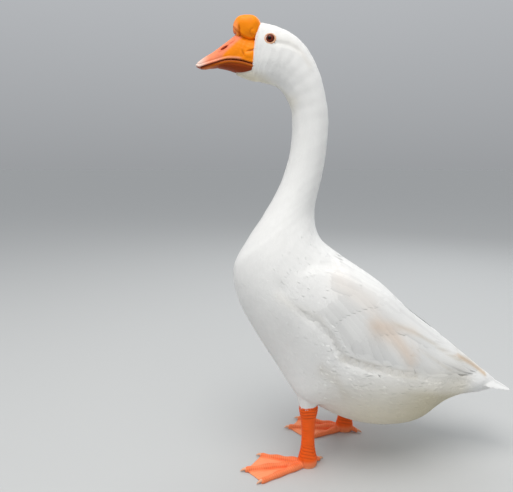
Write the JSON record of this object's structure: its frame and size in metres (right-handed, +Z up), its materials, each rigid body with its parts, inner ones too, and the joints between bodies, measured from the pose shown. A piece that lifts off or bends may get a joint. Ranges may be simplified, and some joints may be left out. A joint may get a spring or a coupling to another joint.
{
  "type": "domestic goose",
  "caption": "Life-size still model of a white knobbed domestic goose, standing with its neck upright and one foot ahead of the other.",
  "frame": {"origin": "middle of the underside of the model's box, on the floor between the feet", "axes": "+Z up, the bill points to -X, the bird's left side is towards -Y"},
  "size_m": [0.5622, 0.2206, 0.7602],
  "materials": {
    "plumage": "soft white contour feathers",
    "quills": "smooth white vanes with pale shafts",
    "bill": "satin horn and skin, orange to salmon",
    "knob": "satin orange skin, slightly folded",
    "eye": "wet and glossy, dark brown iris, black pupil",
    "leg_skin": "scaly orange skin, paler webs",
    "claw": "pale smooth horn"
  },
  "bodies": {
    "root": {"trunk": "plumage", "neck_lower": "plumage", "neck_upper": "plumage", "head": "plumage", "thigh_left": "plumage", "thigh_right": "plumage", "wing_left": "quills", "wing_right": "quills", "tail": "quills", "bill_upper": "bill", "bill_lower": "bill", "bill_knob": "knob", "eye_left": "eye", "eye_right": "eye", "shank_left": "leg_skin", "shank_right": "leg_skin", "foot_left": "leg_skin", "foot_right": "leg_skin", "claw_left_inner": "claw", "claw_left_middle": "claw", "claw_left_outer": "claw", "claw_left_hind": "claw", "claw_right_inner": "claw", "claw_right_middle": "claw", "claw_right_outer": "claw", "claw_right_hind": "claw"}
  },
  "joints": []
}
